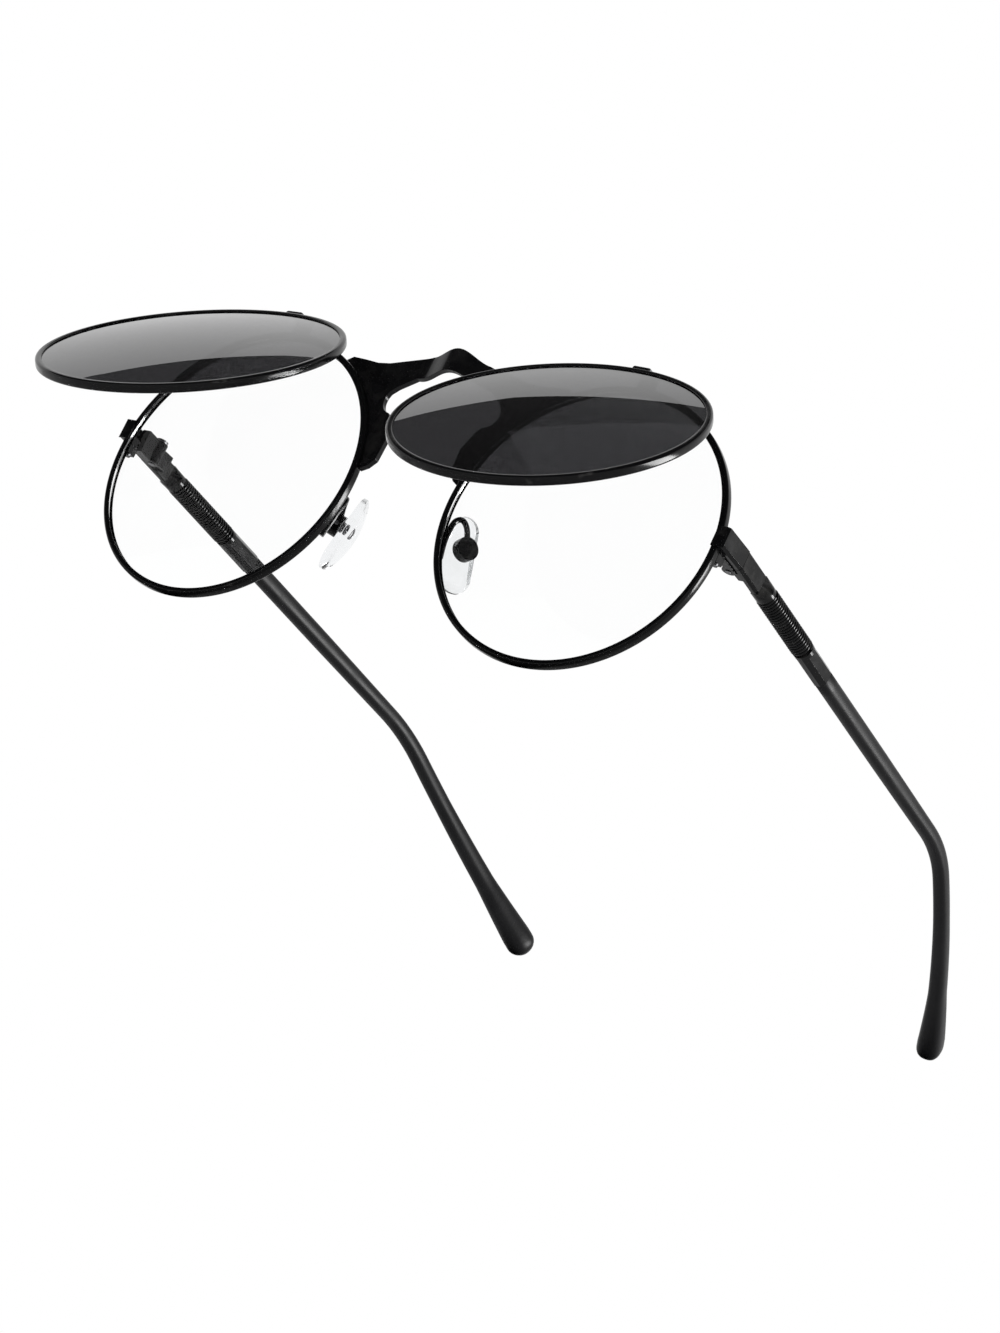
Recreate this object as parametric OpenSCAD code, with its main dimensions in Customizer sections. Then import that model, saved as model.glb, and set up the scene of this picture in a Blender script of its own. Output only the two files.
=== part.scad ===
// Round wire-rimmed glasses with flip up tinted lenses and a wire coil wound on each temple.
// They stand on a table: the rims' lowest points and the temple tips rest on z = 0.
// X runs to the wearer's left, Y from the front back towards the ears, Z up.

/* [Rims] */
// Diameter of the rim wire's centreline
rim_d = 50.7; // [49.5:0.1:51.5]
// Radial thickness of the rim wire
rim_t = 1.15; // [1.05:0.05:1.3]
// Depth of the rim wire from front to back
rim_depth = 1.8; // [1.7:0.1:2.2]
// Distance between the two rim centres
rim_spacing = 72.4; // [71.6:0.2:75]
// Angle that each rim turns back towards its temple
wrap = 2.4; // [0:0.2:4]
// Depth of the groove that holds a lens
groove_depth = 0.32; // [0.2:0.02:0.36]

/* [Lenses] */
// Thickness of a clear lens
clear_lens_t = 1.1; // [0.9:0.1:1.2]
// Thickness of a tinted lens
tint_lens_t = 1.0; // [0.8:0.1:1.1]
// Radius of the lens front surface
lens_curve_r = 180; // [140:10:260]

/* [Bridge] */
// Thickness of the bridge plate
bridge_t = 1.05; // [0.9:0.05:1.2]
// Height of the bridge top above the rim centres
bridge_top_z = 26.8; // [26.4:0.2:27.6]
// Height of the bridge plate at its middle
bridge_bar_h = 4.3; // [3.8:0.1:4.8]
// How far the middle of the bridge stands forward of the rims' nasal edges
bridge_arch = 2.4; // [1.2:0.1:3]
// Radius of the round pocket on each side of the nose opening
nose_pocket_r = 2.5; // [2.2:0.1:2.8]

/* [Flip up frames] */
// Diameter of the flip ring's centreline
flip_d = 51; // [50:0.1:51.4]
// Radial thickness of the flip ring
flip_t = 1.1; // [1:0.05:1.2]
// Depth of the flip ring from front to back
flip_depth = 1.65; // [1.5:0.05:1.8]
// Distance from the rim plane forward to the flip hinge axis
flip_axis_forward = 3.5; // [3.3:0.1:4]
// Height of the flip hinge axis above the rim centre
flip_axis_up = 27.9; // [27.6:0.05:28.6]
// Distance from the flip hinge axis to the ring's outer edge
flip_axis_gap = 0.4; // [0.3:0.05:0.5]
// Radius of the flip hinge knuckles
flip_knuckle_r = 0.85; // [0.8:0.05:0.9]
// Width of the middle knuckle
flip_knuckle_w = 1.1; // [0.9:0.1:1.4]
// Width of each ear beside it
flip_ear_w = 0.8; // [0.7:0.1:1]
// Radius of the flip hinge pin
flip_pin_r = 0.38; // [0.3:0.02:0.4]
// Opening angle of the left eye's flip frame, measured from closed
flip_open_left = 39.7; // [30:0.1:50]
// Opening angle of the right eye's flip frame, measured from closed
flip_open_right = 44.2; // [30:0.1:50]

/* [End pieces and temple hinges] */
// Distance from the middle plane to the outer face of an end piece
end_outer_x = 63.3; // [63.1:0.1:64.6]
// Height of the end pieces and of the temple bars
bar_h = 3.6; // [3.4:0.1:4]
// Thickness of the end pieces and of the temple bars
bar_t = 1.4; // [1.2:0.1:1.5]
// Height of the end piece centre above the rim centres
end_z = 3; // [2.4:0.1:3.4]
// Distance from the rim plane back to the joint between end piece and temple
joint_y = 7.4; // [7:0.1:8.4]
// Radius of the hinge knuckles
hinge_r = 1.25; // [1.1:0.05:1.3]
// Height of one hinge knuckle
hinge_knuckle_h = 1.3; // [1.1:0.1:1.5]
// Radius of the hinge screw
hinge_screw_r = 0.55; // [0.45:0.05:0.6]
// Radius of the rim closing screw
rim_screw_r = 0.36; // [0.3:0.02:0.38]
// Outward turn of the left temple as it stands
splay_left = 0.4; // [-2:0.1:0.4]
// Outward turn of the right temple as it stands
splay_right = -5.9; // [-8:0.1:0.4]

/* [Temples] */
// Length from the hinge joint to the tip along the temple
temple_length = 138.5; // [130:0.5:142]
// Angle that the straight part slopes down
temple_pitch = 3.6; // [2:0.1:5]
// Length of the plain bar in front of the coil
bar_length = 9.8; // [8:0.2:12]
// Length of the coil
coil_length = 15.8; // [12:0.2:18]
// Outer diameter of the coil
coil_d = 3.9; // [3.7:0.1:4.2]
// Diameter of the coil's wire
coil_wire = 0.5; // [0.4:0.05:0.55]
// Number of turns in the coil
coil_turns = 15; // [8:1:16]
// Length of the ferrule behind the coil
ferrule_length = 8.6; // [6:0.2:10]
// Diameter of the core wire inside the coil
core_d = 2.2; // [1.8:0.1:2.3]
// Diameter of the core wire inside the sleeve
tail_d = 1.4; // [1.2:0.1:1.5]
// Where the ear bend starts, along the temple
bend_start = 82.5; // [76:0.5:90]
// Length of the ear bend
bend_length = 12.5; // [8:0.5:18]
// Angle of the ear bend
ear_bend = 22.3; // [10:0.1:22.4]
// Angle that the ear hook curves inward
hook_in = 21.7; // [10:0.1:26]
// Height of the sleeve at its front end
sleeve_h = 3.5; // [3.2:0.1:3.8]
// Thickness of the sleeve
sleeve_w = 2.6; // [2.4:0.1:3]
// Height of the sleeve at the ear bend
neck_h = 3; // [2.8:0.1:3.4]
// Height of the drop-shaped tip
paddle_h = 5.4; // [4.4:0.1:6]
// Thickness of the drop-shaped tip
paddle_w = 4.6; // [3:0.1:5]

/* [Nose pads] */
// Length of a nose pad
pad_length = 14; // [12:0.2:15]
// Width of a nose pad
pad_width = 6.4; // [6:0.1:7.4]
// Thickness of a nose pad at its middle
pad_t = 2.2; // [1.8:0.1:2.6]
// Diameter of a pad box
pad_box_d = 4; // [3.8:0.1:4.4]
// Diameter of the pad arm wire
pad_wire_d = 1; // [0.8:0.05:1.1]
// Turn of a pad away from straight sideways
pad_splay = 28; // [24:1:42]
// Lean of a pad's top towards the nose
pad_lean = 11; // [6:1:16]

/* [Hidden] */
$fn = 48;
left = 1;
right = -1;
ring_fn = 144;
lens_fn = 720;
frame_black = [0.08, 0.08, 0.085];
satin_black = [0.2, 0.2, 0.21];
screw_steel = [0.35, 0.35, 0.36];
clear_tint = [0.85, 0.9, 0.92, 0.3];
dark_tint = [0.1, 0.1, 0.11, 0.8];
pad_clear = [0.9, 0.9, 0.88, 0.5];

// Clearance between soldered or seated faces
seat_gap = 0.02;
// Radial clearance of a pin or screw in its hole
pin_gap = 0.04;
// Gap between faces that move past each other
run_gap = 0.12;
// Chamfer on wire and plate edges
edge = 0.18;
// Wide chamfer on the lower outer edge of end piece and temple bar
low_edge = 0.6;

rim_inner_r = rim_d/2 - rim_t/2;
rim_outer_r = rim_d/2 + rim_t/2;
clear_lens_r = rim_inner_r + groove_depth - seat_gap;
flip_inner_r = flip_d/2 - flip_t/2;
flip_outer_r = flip_d/2 + flip_t/2;
tint_lens_r = flip_inner_r + groove_depth - seat_gap;

// Place of the rim plane, so that the origin lies under the middle of the standing glasses
front_y = -49.5;
rim_z = rim_outer_r;

// Frames that the pieces are built in

module front_frame() {
    translate([0, front_y, rim_z]) children();
}

module on_side(side) {
    front_frame() mirror([side == left ? 0 : 1, 0, 0]) children();
}

// Origin at a rim's centre, X outward to the temple, Y back, Z up
module rim_frame(side) {
    on_side(side) translate([rim_spacing/2, 0, 0]) rotate([0, 0, wrap]) children();
}

// Turns a profile of radius and forward distance about the rim's axis
module around_rim(fn = ring_fn) {
    rotate([90, 0, 0]) rotate_extrude($fn = fn) children();
}

// Rectangle centred on the origin with its corners cut off
module cut_rect(w, h, c) {
    polygon([
        [-w/2 + c, -h/2], [w/2 - c, -h/2], [w/2, -h/2 + c], [w/2, h/2 - c],
        [w/2 - c, h/2], [-w/2 + c, h/2], [-w/2, h/2 - c], [-w/2, -h/2 + c]
    ]);
}

// Ring with a groove inside for a lens
module grooved_ring(inner_r, t, depth, lens_t) {
    around_rim() difference() {
        translate([inner_r + t/2, 0]) cut_rect(t, depth, edge);
        translate([inner_r - 1, -lens_t/2 - 3*seat_gap]) square([1 + groove_depth, lens_t + 6*seat_gap]);
    }
}

// Curved lens whose edge is centred on the ring's groove
function lens_sag(r) = lens_curve_r - sqrt(lens_curve_r*lens_curve_r - r*r);

module lens_blank(r, t) {
    centre = lens_sag(r) - lens_curve_r + t/2;
    around_rim() intersection() {
        translate([0, centre - 1]) square([r, lens_curve_r + 1]);
        difference() {
            translate([0, centre]) circle(r = lens_curve_r, $fn = lens_fn);
            translate([0, centre - t]) circle(r = lens_curve_r, $fn = lens_fn);
        }
    }
}

// Rims and clear lenses

lug_size = [1.25, 2.1, 1.45];
lug_x = end_outer_x - bar_t - lug_size[0]/2 + 0.2;
lug_y = (rim_outer_r - 0.2)*sin(wrap) + rim_depth/2 + lug_size[1]/2 - 0.35;
split_gap = 0.2;
split_z = end_z - bar_h/2 - 0.25;

module rim(side) {
    color(frame_black) difference() {
        union() {
            rim_frame(side) grooved_ring(rim_inner_r, rim_t, rim_depth, clear_lens_t);
            on_side(side) translate([lug_x, lug_y, split_z])
                cube([lug_size[0], lug_size[1], 2*lug_size[2] + split_gap], center = true);
        }
        on_side(side) translate([lug_x - 2, lug_y - 4, split_z - split_gap/2]) cube([4, 6, split_gap]);
        on_side(side) translate([lug_x, lug_y, split_z - 3]) cylinder(r = rim_screw_r + pin_gap, h = 6);
        rim_frame(side) around_rim() translate([rim_inner_r - 1, -clear_lens_t/2 - 3*seat_gap])
            square([1 + groove_depth, clear_lens_t + 6*seat_gap]);
    }
}

module clear_lens(side) {
    color(clear_tint) rim_frame(side) lens_blank(clear_lens_r, clear_lens_t);
}

module rim_screw(side) {
    head_h = 0.45;
    color(screw_steel) on_side(side)
        translate([lug_x, lug_y, split_z - split_gap/2 - lug_size[2] - seat_gap]) difference() {
            union() {
                translate([0, 0, -head_h]) cylinder(r = rim_screw_r + 0.2, h = head_h);
                cylinder(r = rim_screw_r, h = 2*lug_size[2] + split_gap);
            }
            translate([-1, -0.09, -head_h - 0.1]) cube([2, 0.18, 0.3]);
        }
}

// Bridge: a bent plate with a foot along each rim and a hump in the middle

bridge_half = 7.5;
nasal_y = -(rim_spacing/2 - bridge_half)*tan(wrap);
bridge_back = rim_depth/2 - bridge_t/2;

// Plan of the bent sheet, seen from above, as a strip of the plate's thickness
module bridge_plan() {
    steps = 24;
    mid = [for (i = [0:steps])
        let (x = bridge_half*(2*i/steps - 1))
        [x, nasal_y - bridge_arch*(1 + cos(180*x/bridge_half))/2]];
    reach = rim_spacing/2 - 4;
    end_y = nasal_y + (reach - bridge_half)*tan(wrap);
    line = concat([[-reach, end_y]], mid, [[reach, end_y]]);
    back_line = [for (i = [len(line) - 1:-1:0]) line[i] + [0, bridge_t/2]];
    polygon(concat([for (p = line) p - [0, bridge_t/2]], back_line));
}

// Front outline of the bridge in X and Z of the front frame, one half and its mirror
module bridge_outline() {
    hump_w = 6;
    hump_h = 1.4;
    shoulder_z = bridge_top_z - hump_h;
    bar_bottom_z = bridge_top_z - bridge_bar_h;
    arch_steps = 12;
    hump = [for (i = [1:arch_steps])
        let (q = i/arch_steps)
        [hump_w*q, shoulder_z + hump_h*(1 + cos(180*q))/2]];
    underside = [for (i = [0:arch_steps - 1])
        let (q = 1 - i/arch_steps)
        [hump_w*1.25*q, bar_bottom_z - hump_h*(1 - cos(180*q))/2]];
    half = concat(hump, [
        [14.5, shoulder_z - 2.1], [17, shoulder_z - 2.3], [19.8, shoulder_z - 2], [22.6, shoulder_z - 1.8],
        [25, shoulder_z - 3.4], [14, 0.8], [9, 3.6], [7.9, 5],
        [7.7, 9.3], [9, 12.8], [12, 17], [11.7, 17.9], [10.6, 19]
    ], underside);
    mirrored = [for (i = [len(half) - 1:-1:0]) [-half[i].x, half[i].y]];
    polygon(concat([[0, bridge_top_z]], half, [[0, bar_bottom_z]], mirrored));
}

module bridge() {
    color(frame_black) difference() {
        front_frame() intersection() {
            translate([0, 0, -5]) translate([0, bridge_back, 0]) linear_extrude(height = 40) bridge_plan();
            translate([0, 6, 0]) rotate([90, 0, 0]) linear_extrude(height = 14) difference() {
                bridge_outline();
                for (s = [-1, 1]) translate([s*9.5, 16.4]) circle(r = nose_pocket_r);
            }
        }
        for (side = [left, right]) rim_frame(side) rotate([90, 0, 0])
            cylinder(r = rim_outer_r + seat_gap, h = 12, center = true, $fn = ring_fn);
    }
}

// End pieces and the temple hinges

end_front_y = -0.15;
hinge_x = end_outer_x - bar_t - hinge_r - 0.05;
hinge_y = joint_y + 0.7;
hinge_h = 3*hinge_knuckle_h + 2*run_gap;

module end_piece(side) {
    inner_x = rim_spacing/2 + rim_inner_r;
    color(frame_black) difference() {
        on_side(side) translate([0, 0, end_z - bar_h/2]) linear_extrude(height = bar_h) polygon([
            [inner_x, end_front_y], [end_outer_x - 0.35, end_front_y], [end_outer_x, end_front_y + 0.35],
            [end_outer_x, joint_y], [end_outer_x - bar_t, joint_y],
            [end_outer_x - bar_t, end_front_y + bar_t], [inner_x, end_front_y + bar_t]
        ]);
        rim_frame(side) around_rim() translate([rim_inner_r - 1, -rim_depth/2 - 2])
            square([1 + rim_t + seat_gap, rim_depth + 2 + seat_gap]);
        on_side(side) translate([lug_x, lug_y, split_z]) cube([
            lug_size[0] + 2*seat_gap, lug_size[1] + 2*seat_gap, 2*lug_size[2] + split_gap + 2*seat_gap
        ], center = true);
        on_side(side) translate([end_outer_x, joint_y + 1, end_z - bar_h/2]) rotate([90, 0, 0])
            linear_extrude(height = joint_y + 1 - end_front_y - 0.35)
                polygon([[-low_edge, -0.1], [0.1, -0.1], [0.1, low_edge]]);
    }
}

module knuckle(z, h) {
    translate([hinge_x, hinge_y, z]) cylinder(r = hinge_r, h = h);
}

// Level of a knuckle's underside, counted from the bottom one
function knuckle_z(i) = end_z - hinge_h/2 + i*(hinge_knuckle_h + run_gap);

module front_hinge(side) {
    leaf_x = end_outer_x - bar_t - seat_gap;
    leaf_y = lug_y + lug_size[1]/2 + 0.1;
    color(frame_black) on_side(side) difference() {
        union() {
            translate([hinge_x - 0.4, leaf_y, end_z - bar_h/2])
                cube([leaf_x - hinge_x + 0.4, hinge_y - hinge_r - run_gap - leaf_y, bar_h]);
            for (i = [0, 2]) {
                knuckle(knuckle_z(i), hinge_knuckle_h);
                translate([hinge_x - 0.4, leaf_y, knuckle_z(i)])
                    cube([leaf_x - hinge_x + 0.4, joint_y - seat_gap - leaf_y, hinge_knuckle_h]);
            }
        }
        translate([hinge_x, hinge_y, end_z - hinge_h]) cylinder(r = hinge_screw_r + pin_gap, h = 2*hinge_h);
    }
}

module hinge_screw(side) {
    head_h = 0.5;
    bottom = end_z - hinge_h/2 - 0.15;
    color(screw_steel) on_side(side) translate([hinge_x, hinge_y, 0]) difference() {
        union() {
            translate([0, 0, bottom]) cylinder(r = hinge_screw_r, h = hinge_h + 0.15);
            translate([0, 0, end_z + hinge_h/2 + seat_gap]) cylinder(r = hinge_r - 0.15, h = head_h);
            translate([0, 0, end_z + hinge_h/2 - 0.1]) cylinder(r = hinge_screw_r, h = 0.2);
        }
        translate([-2, -0.12, end_z + hinge_h/2 + head_h - 0.25]) cube([4, 0.24, 1]);
    }
}

// Temples

// Origin on the hinge axis, Y along the temple, X outward
module temple_frame(side) {
    splay = side == left ? splay_left : splay_right;
    on_side(side) translate([hinge_x, hinge_y, 0]) rotate([0, 0, -splay]) children();
}

bar_x = end_outer_x - bar_t/2 - hinge_x;
bar_y = joint_y - hinge_y + run_gap;
coil_start = bar_length;
ferrule_start = coil_start + coil_length;
sleeve_start = ferrule_start + ferrule_length;
bend_end = bend_start + bend_length;
tail_end = bend_start - 1;
collar_l = 0.9;

// Frame that runs down the straight part of the temple, Z along it
module along_temple(s) {
    translate([bar_x, bar_y, end_z]) rotate([-90 - temple_pitch, 0, 0]) translate([0, 0, s]) children();
}

function slope(s) = temple_pitch + ear_bend*min(1, max(0, (s - bend_start)/bend_length));
function turn_in(s) = s < bend_end
    ? hook_in/2*max(0, (s - bend_start)/bend_length)
    : hook_in/2 + hook_in/2*(s - bend_end)/(temple_length - bend_end);
function heading(s) = [-sin(turn_in(s))*cos(slope(s)), cos(turn_in(s))*cos(slope(s)), -sin(slope(s))];
function along(s) = [bar_x, bar_y, end_z] + (s <= bend_start
    ? s*heading(0)
    : bend_start*heading(0) + hook(s));
// Sum of short steps from the start of the ear bend
hook_steps = 24;
function hook(s) = let (step = (s - bend_start)/hook_steps)
    [for (i = [0:hook_steps - 1]) 1]*[for (i = [0:hook_steps - 1])
        step*heading(bend_start + (i + 0.5)*step)];

// Height and thickness of the sleeve along the temple
paddle_start = bend_end + 10;
tip_r = 2.6;
function round_tip(s) = s < temple_length - tip_r
    ? 1
    : sqrt(max(0, 1 - pow((s - temple_length + tip_r)/tip_r, 2)));
function sleeve_height(s) = round_tip(s)*lookup(s, [
    [sleeve_start, sleeve_h], [sleeve_start + 25, sleeve_h - 0.1], [bend_start, neck_h],
    [paddle_start, neck_h + 0.2], [temple_length - 16, neck_h + 0.8], [temple_length - 4, paddle_h],
    [temple_length, paddle_h]
]);
function sleeve_thick(s) = round_tip(s)*lookup(s, [
    [sleeve_start, sleeve_w], [bend_start, sleeve_w], [paddle_start, sleeve_w + 0.1],
    [temple_length - 16, sleeve_w + 0.5], [temple_length - 4, paddle_w], [temple_length, paddle_w]
]);

// Points of an oval section of the given size, square to the temple
function section(s, w, h, n) = let (
        t = heading(s),
        side_dir = [cos(turn_in(s)), sin(turn_in(s)), 0],
        up_dir = cross(side_dir, t),
        centre = along(s)
    ) [for (i = [0:n - 1])
        let (a = 360*i/n, c = cos(a), d = sin(a))
        centre + w/2*sign(c)*pow(abs(c), 0.8)*side_dir + h/2*sign(d)*pow(abs(d), 0.8)*up_dir];

// Closed skin over rings of points, with flat ends
module skin(rings) {
    n = len(rings[0]);
    m = len(rings);
    points = [for (ring = rings) for (p = ring) p];
    walls = [for (i = [0:m - 2]) for (j = [0:n - 1])
        let (a = i*n + j, b = i*n + (j + 1)%n)
        each [[a, b, b + n], [a, b + n, a + n]]];
    caps = [
        [for (j = [n - 1:-1:0]) j],
        [for (j = [0:n - 1]) (m - 1)*n + j]
    ];
    polyhedron(points = points, faces = concat(walls, caps));
}

sleeve_stations = concat(
    [sleeve_start, sleeve_start + 12, sleeve_start + 25, bend_start - 8],
    [for (i = [0:5]) bend_start + i*bend_length/5],
    [for (i = [1:6]) bend_end + i*(temple_length - tip_r - bend_end)/6],
    [for (a = [25, 48, 66, 80, 88]) temple_length - tip_r + tip_r*sin(a)]
);

// Round wire inside the straight part of the sleeve, or the hole for it
module tail_wire(d, before, after) {
    along_temple(sleeve_start - before) cylinder(d = d, h = tail_end - sleeve_start + before + after);
}

module temple_bar(side) {
    color(frame_black) temple_frame(side) {
        difference() {
            along_temple(-1) linear_extrude(height = bar_length - collar_l + 1.1) difference() {
                cut_rect(bar_t, bar_h, edge);
                translate([bar_t/2, bar_h/2]) polygon([[-low_edge, 0.1], [0.1, 0.1], [0.1, -low_edge]]);
            }
            translate([-10, bar_y - 10, -10]) cube([20, 10, 30]);
        }
        along_temple(bar_length - collar_l) cylinder(d = coil_d - 0.2, h = collar_l - seat_gap);
        along_temple(bar_length - collar_l) cylinder(d = core_d, h = sleeve_start - bar_length + collar_l);
        tail_wire(tail_d, 0.5, 0);
    }
}

module temple_hinge(side) {
    leaf_x = end_outer_x - bar_t - hinge_x - seat_gap;
    leaf_end = 3.8;
    color(frame_black) temple_frame(side) difference() {
        union() {
            translate([-0.2, hinge_r + 2*run_gap, end_z - bar_h/2 + 0.3])
                cube([leaf_x + 0.2, leaf_end - hinge_r - 2*run_gap, bar_h - 0.6]);
            translate([0, 0, knuckle_z(1)]) {
                cylinder(r = hinge_r, h = hinge_knuckle_h);
                translate([-0.2, 0, 0]) cube([leaf_x + 0.2, leaf_end, hinge_knuckle_h]);
            }
        }
        translate([0, 0, end_z - hinge_h]) cylinder(r = hinge_screw_r + pin_gap, h = 2*hinge_h);
    }
}

// Coil: one unbroken wire whose ends run straight into the collar and the ferrule

coil_r = (coil_d - coil_wire)/2;
coil_run = coil_length - 2*coil_wire - 2*seat_gap;
curl_rings = 8;
function coil_point(i) = let (q = i/(coil_turns*curl_rings))
    [coil_r*cos(360*coil_turns*q), coil_r*sin(360*coil_turns*q), coil_wire + seat_gap + coil_run*q];
function coil_tangent(i) = let (a = 360*i/curl_rings, rise = coil_run/(coil_turns*360)*180/PI)
    let (v = [-coil_r*sin(a), coil_r*cos(a), rise]) v/norm(v);
function wire_ring(centre, t, out) = let (b = cross(t, out))
    [for (k = [0:5]) centre + coil_wire/2*(cos(60*k)*out - sin(60*k)*b)];
coil_count = coil_turns*curl_rings;
coil_rings = concat(
    [wire_ring([coil_r, 0, seat_gap], [0, 0, 1], [1, 0, 0])],
    [for (i = [0:coil_count])
        let (a = 360*i/curl_rings, end = i == 0 || i == coil_count)
        wire_ring(coil_point(i), end ? [0, sqrt(0.5), sqrt(0.5)] : coil_tangent(i), [cos(a), sin(a), 0])],
    [wire_ring([coil_r, 0, coil_length - seat_gap], [0, 0, 1], [1, 0, 0])]
);
// Least gap of the wire to its next turn, measured on points along it
coil_gap = min([for (i = [0:curl_rings*2 - 1]) for (j = [i + curl_rings - 2:i + curl_rings + 2])
    norm(coil_point(i) - coil_point(j)) - coil_wire]);
echo(least_coil_gap = coil_gap);

module coil(side) {
    color(frame_black) temple_frame(side) along_temple(coil_start) skin(coil_rings);
}

module ferrule(side) {
    color(satin_black) temple_frame(side) along_temple(ferrule_start + seat_gap) difference() {
        union() {
            cylinder(d = coil_d - 0.2, h = 0.8);
            linear_extrude(height = ferrule_length - 2*seat_gap)
                cut_rect(sleeve_w + 0.1, sleeve_h + 0.1, 0.8);
        }
        translate([0, 0, -1]) cylinder(d = core_d + 2*pin_gap, h = ferrule_length + 2);
    }
}

module temple_sleeve(side) {
    color(satin_black) temple_frame(side) difference() {
        skin([for (s = sleeve_stations) section(s, sleeve_thick(s), sleeve_height(s), 16)]);
        tail_wire(tail_d + 2*pin_gap, 1, 0.3);
    }
}

// Nose pads

pad_box_at = [13.5, 4.3, -5.7];
pad_box_depth = 1.7;
pad_wall = 0.5;

// Origin at a pad box centre, X towards the nose, Z up along the pad
module pad_frame(side) {
    on_side(side) translate(pad_box_at) rotate([0, -pad_lean, 0]) rotate([0, 0, 180 - pad_splay]) children();
}

// Centreline of the pad arm: along the rim's wall, back over a loop and down to the box
arm_points = [
    [12.6, 0.42, -9.8], [12.15, 0.42, -8], [11.85, 0.45, -6.3], [11.7, 0.6, -4.6], [11.6, 0.9, -3],
    [11.85, 1.35, -2.05], [12.4, 2, -1.8], [13, 2.9, -2.6], [13.3, 3.7, -3.95]
];
function mix3(a, b, c, d, q) = 0.5*(2*b + (c - a)*q + (2*a - 5*b + 4*c - d)*q*q + (3*b - a - 3*c + d)*q*q*q);
function arm_at(i, q) = let (n = len(arm_points) - 1)
    mix3(arm_points[max(0, i - 1)], arm_points[i], arm_points[min(n, i + 1)], arm_points[min(n, i + 2)], q);
arm_steps = 3;
arm_line = concat(
    [for (i = [0:len(arm_points) - 2]) for (k = [0:arm_steps - 1]) arm_at(i, k/arm_steps)],
    [arm_points[len(arm_points) - 1]]
);
function unit(v) = v/norm(v);
function arm_ring(i) = let (
        n = len(arm_line) - 1,
        t = unit(arm_line[min(n, i + 1)] - arm_line[max(0, i - 1)]),
        out = unit(cross(t, [1, 0, 0])),
        b = cross(t, out)
    ) [for (k = [0:9]) arm_line[i] + pad_wire_d/2*(cos(36*k)*out - sin(36*k)*b)];

module pad_arm(side) {
    cup_r = pad_box_d/2;
    color(frame_black) {
        difference() {
            union() {
                on_side(side) skin([for (i = [0:len(arm_line) - 1]) arm_ring(i)]);
                pad_frame(side) translate([-pad_box_depth/2, 0, 0]) rotate([0, 90, 0])
                    cylinder(r = cup_r, h = pad_box_depth);
            }
            pad_frame(side) translate([-pad_box_depth/2 + pad_wall, 0, 0]) rotate([0, 90, 0])
                cylinder(r = cup_r - pad_wall, h = pad_box_depth);
            pad_frame(side) rotate([90, 0, 0]) cylinder(r = pad_screw_r + pin_gap, h = 2*pad_box_d, center = true);
        }
    }
}

pad_screw_r = 0.4;

module pad_screw(side) {
    color(screw_steel) pad_frame(side) rotate([90, 0, 0])
        cylinder(r = pad_screw_r, h = pad_box_d - 0.1, center = true);
}

// Soft pad: a domed drop shape with a stud that the pad screw passes through
module nose_pad(side) {
    stud_w = 1.1;
    face_x = pad_box_depth/2 + 0.5;
    drop = 0.6;
    wide = pad_width/2;
    narrow = pad_width*0.36;
    color(pad_clear) pad_frame(side) difference() {
        union() {
            translate([face_x, 0, -drop]) rotate([0, 90, 0]) intersection() {
                linear_extrude(height = pad_t) hull() {
                    translate([pad_length/2 - wide, 0]) circle(r = wide);
                    translate([-pad_length/2 + narrow, 0]) circle(r = narrow);
                }
                translate([0, 0, pad_t - 16]) sphere(r = 16, $fn = 96);
            }
            translate([-0.1, -stud_w/2, -0.85]) cube([face_x + 0.4, stud_w, 1.7]);
        }
        rotate([90, 0, 0]) cylinder(r = pad_screw_r + pin_gap, h = 4, center = true);
    }
}

// Flip up frames

// Origin on the flip hinge axis, X outward, Y back, Z up
module flip_axis_frame(side) {
    rim_frame(side) translate([0, -flip_axis_forward, flip_axis_up]) children();
}

// The same origin, turned with the flip frame; its ring hangs along -Z
module flip_frame(side) {
    angle = side == left ? flip_open_left : flip_open_right;
    flip_axis_frame(side) rotate([-angle, 0, 0]) children();
}

flip_centre_z = -(flip_axis_gap + flip_outer_r);
flip_hinge_w = flip_knuckle_w + 2*flip_ear_w + 2*run_gap;
flip_pin_head = 0.3;
notch_r = flip_knuckle_r + run_gap;

module flip_bracket(side) {
    post_w = 1.1;
    post_y = flip_axis_forward - post_w/2;
    arm_bottom = -0.2;
    foot_z = rim_outer_r - flip_axis_up;
    color(frame_black) difference() {
        flip_axis_frame(side) difference() {
            union() {
                for (s = [-1, 1]) translate([s*(flip_hinge_w - flip_ear_w)/2, 0, 0]) {
                    rotate([0, 90, 0]) cylinder(r = flip_knuckle_r, h = flip_ear_w, center = true);
                    translate([-flip_ear_w/2, 0, arm_bottom])
                        cube([flip_ear_w, post_y + post_w, flip_knuckle_r - arm_bottom]);
                }
                translate([-flip_hinge_w/2, post_y, foot_z - 1])
                    cube([flip_hinge_w, post_w, flip_knuckle_r - foot_z + 1]);
                translate([-flip_hinge_w/2, notch_r + 0.1, arm_bottom])
                    cube([flip_hinge_w, post_y - notch_r, flip_knuckle_r - arm_bottom]);
            }
            rotate([0, 90, 0]) cylinder(r = flip_pin_r + seat_gap, h = 2*flip_hinge_w, center = true);
        }
        rim_frame(side) rotate([90, 0, 0])
            cylinder(r = rim_outer_r + seat_gap, h = 12, center = true, $fn = ring_fn);
    }
}

module flip_pin(side) {
    color(screw_steel) flip_axis_frame(side) rotate([0, 90, 0]) {
        cylinder(r = flip_pin_r, h = flip_hinge_w + 0.1, center = true);
        translate([0, 0, flip_hinge_w/2 + seat_gap]) cylinder(r = flip_pin_r + 0.25, h = flip_pin_head);
    }
}

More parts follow.
